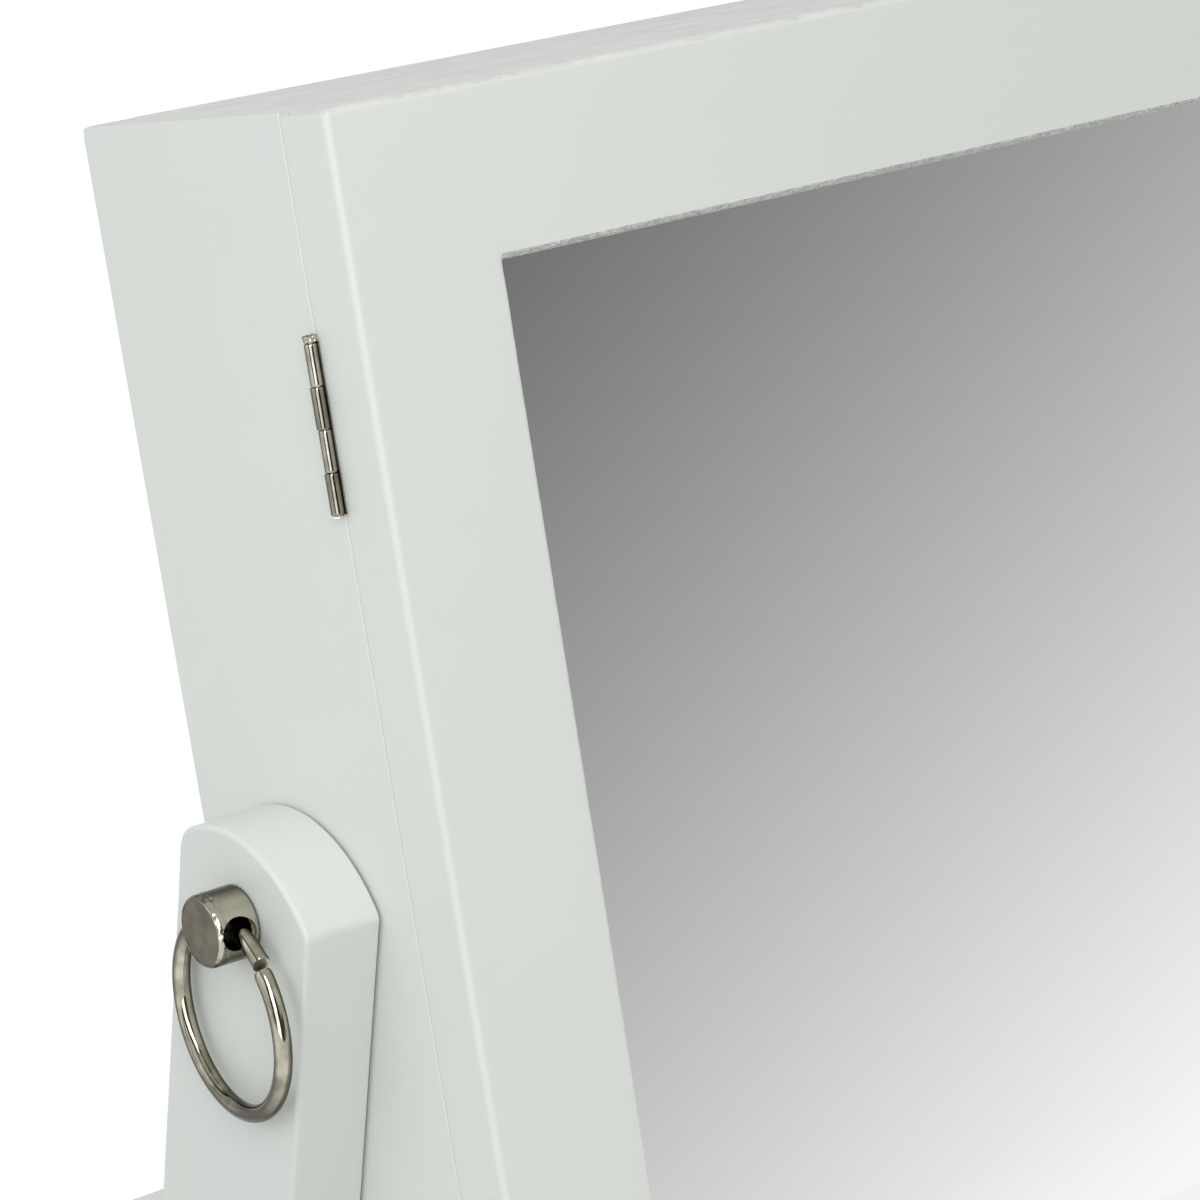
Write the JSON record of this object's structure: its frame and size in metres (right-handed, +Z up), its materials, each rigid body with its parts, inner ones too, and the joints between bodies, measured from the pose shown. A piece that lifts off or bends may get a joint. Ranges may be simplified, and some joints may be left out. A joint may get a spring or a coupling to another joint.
{
  "type": "tabletop jewelry cabinet",
  "caption": "Tabletop jewelry cabinet with a mirror door on hinges, tilting between the side boards of a low stand and held by clamp knobs with hanging pull rings.",
  "frame": {"origin": "centre of the underside of the stand, straight below the pivot", "axes": "+Z up, the mirror door faces -Y, +X to the right as seen from the front"},
  "size_m": [0.3024, 0.195, 0.3406],
  "materials": {
    "white_paint": "satin white paint on fibreboard",
    "white_cap": "matte white plastic",
    "nylon": "matte",
    "nickel": "polished nickel plate",
    "screw_steel": "zinc plated",
    "magnet_steel": "bare ferrite and steel",
    "brass": "bare",
    "beech": "bare wood",
    "hardboard": "bare hardboard",
    "mirror": "silvered glass",
    "velvet": "short pile velvet",
    "felt": "felt"
  },
  "bodies": {
    "stand": {"side_board_left": "white_paint", "side_board_right": "white_paint", "base_board": "white_paint", "front_rail": "white_paint", "back_rail": "white_paint", "base_felt": "felt", "stand_screws": "screw_steel", "screw_caps": "white_cap", "left_pivot_washer": "nylon", "right_pivot_washer": "nylon"},
    "left_knob": {"left_clamp_knob": "nickel"},
    "right_knob": {"right_clamp_knob": "nickel"},
    "left_ring": {"left_pull_ring": "nickel"},
    "right_ring": {"right_pull_ring": "nickel"},
    "cabinet": {"carcass_side_left": "white_paint", "carcass_side_right": "white_paint", "carcass_top": "white_paint", "carcass_bottom": "white_paint", "carcass_dowels": "beech", "back_panel": "white_paint", "back_panel_screws": "screw_steel", "left_threaded_insert": "brass", "right_threaded_insert": "brass", "velvet_back": "velvet", "velvet_left": "velvet", "velvet_right": "velvet", "velvet_floor": "velvet", "shelf": "white_paint", "divider": "white_paint", "guard_strips": "white_paint", "necklace_bar": "white_paint", "necklace_hooks": "nickel", "ring_board": "velvet", "ring_cushion": "velvet", "bracelet_pegs": "white_paint", "magnetic_catch": "white_cap", "catch_magnet": "magnet_steel", "catch_screws": "screw_steel", "upper_hinge_cabinet_leaf": "nickel", "lower_hinge_cabinet_leaf": "nickel", "upper_hinge_pin": "nickel", "lower_hinge_pin": "nickel", "hinge_screws_cabinet": "nickel"},
    "door": {"door_frame": "white_paint", "mirror_glass": "mirror", "mirror_backing": "hardboard", "door_velvet": "velvet", "panel_beads": "white_paint", "upper_earring_rail": "white_paint", "lower_earring_rail": "white_paint", "earring_rail_posts": "nickel", "door_knob": "nickel", "door_knob_screw": "screw_steel", "strike_plate": "screw_steel", "strike_screws": "nickel", "upper_hinge_door_leaf": "nickel", "lower_hinge_door_leaf": "nickel", "hinge_screws_door": "nickel"}
  },
  "joints": [
    {"name": "cabinet_tilt", "type": "hinge", "parent": "stand", "child": "cabinet", "pos_m": [0, 0, 0.1845], "axis": [-1, 0, 0], "range_deg": [-22.5, 20]},
    {"name": "door_swing", "type": "hinge", "parent": "cabinet", "child": "door", "pos_m": [-0.1262, -0.03072, 0.19722], "axis": [0, -0.3827, -0.9239], "range_deg": [0, 110]},
    {"name": "left_knob_turn", "type": "hinge", "parent": "stand", "child": "left_knob", "pos_m": [-0.1422, 0, 0.1845], "axis": [-1, 0, 0], "range_deg": [0, 360]},
    {"name": "right_knob_turn", "type": "hinge", "parent": "stand", "child": "right_knob", "pos_m": [0.1422, 0, 0.1845], "axis": [1, 0, 0], "range_deg": [0, 360]},
    {"name": "left_ring_swing", "type": "hinge", "parent": "left_knob", "child": "left_ring", "pos_m": [-0.1466, 0, 0.1845], "axis": [0, 0.9781, -0.2079], "range_deg": [-1.5, 182]},
    {"name": "right_ring_swing", "type": "hinge", "parent": "right_knob", "child": "right_ring", "pos_m": [0.1466, 0, 0.1845], "axis": [0, -0.9781, 0.2079], "range_deg": [-1.5, 182]}
  ]
}
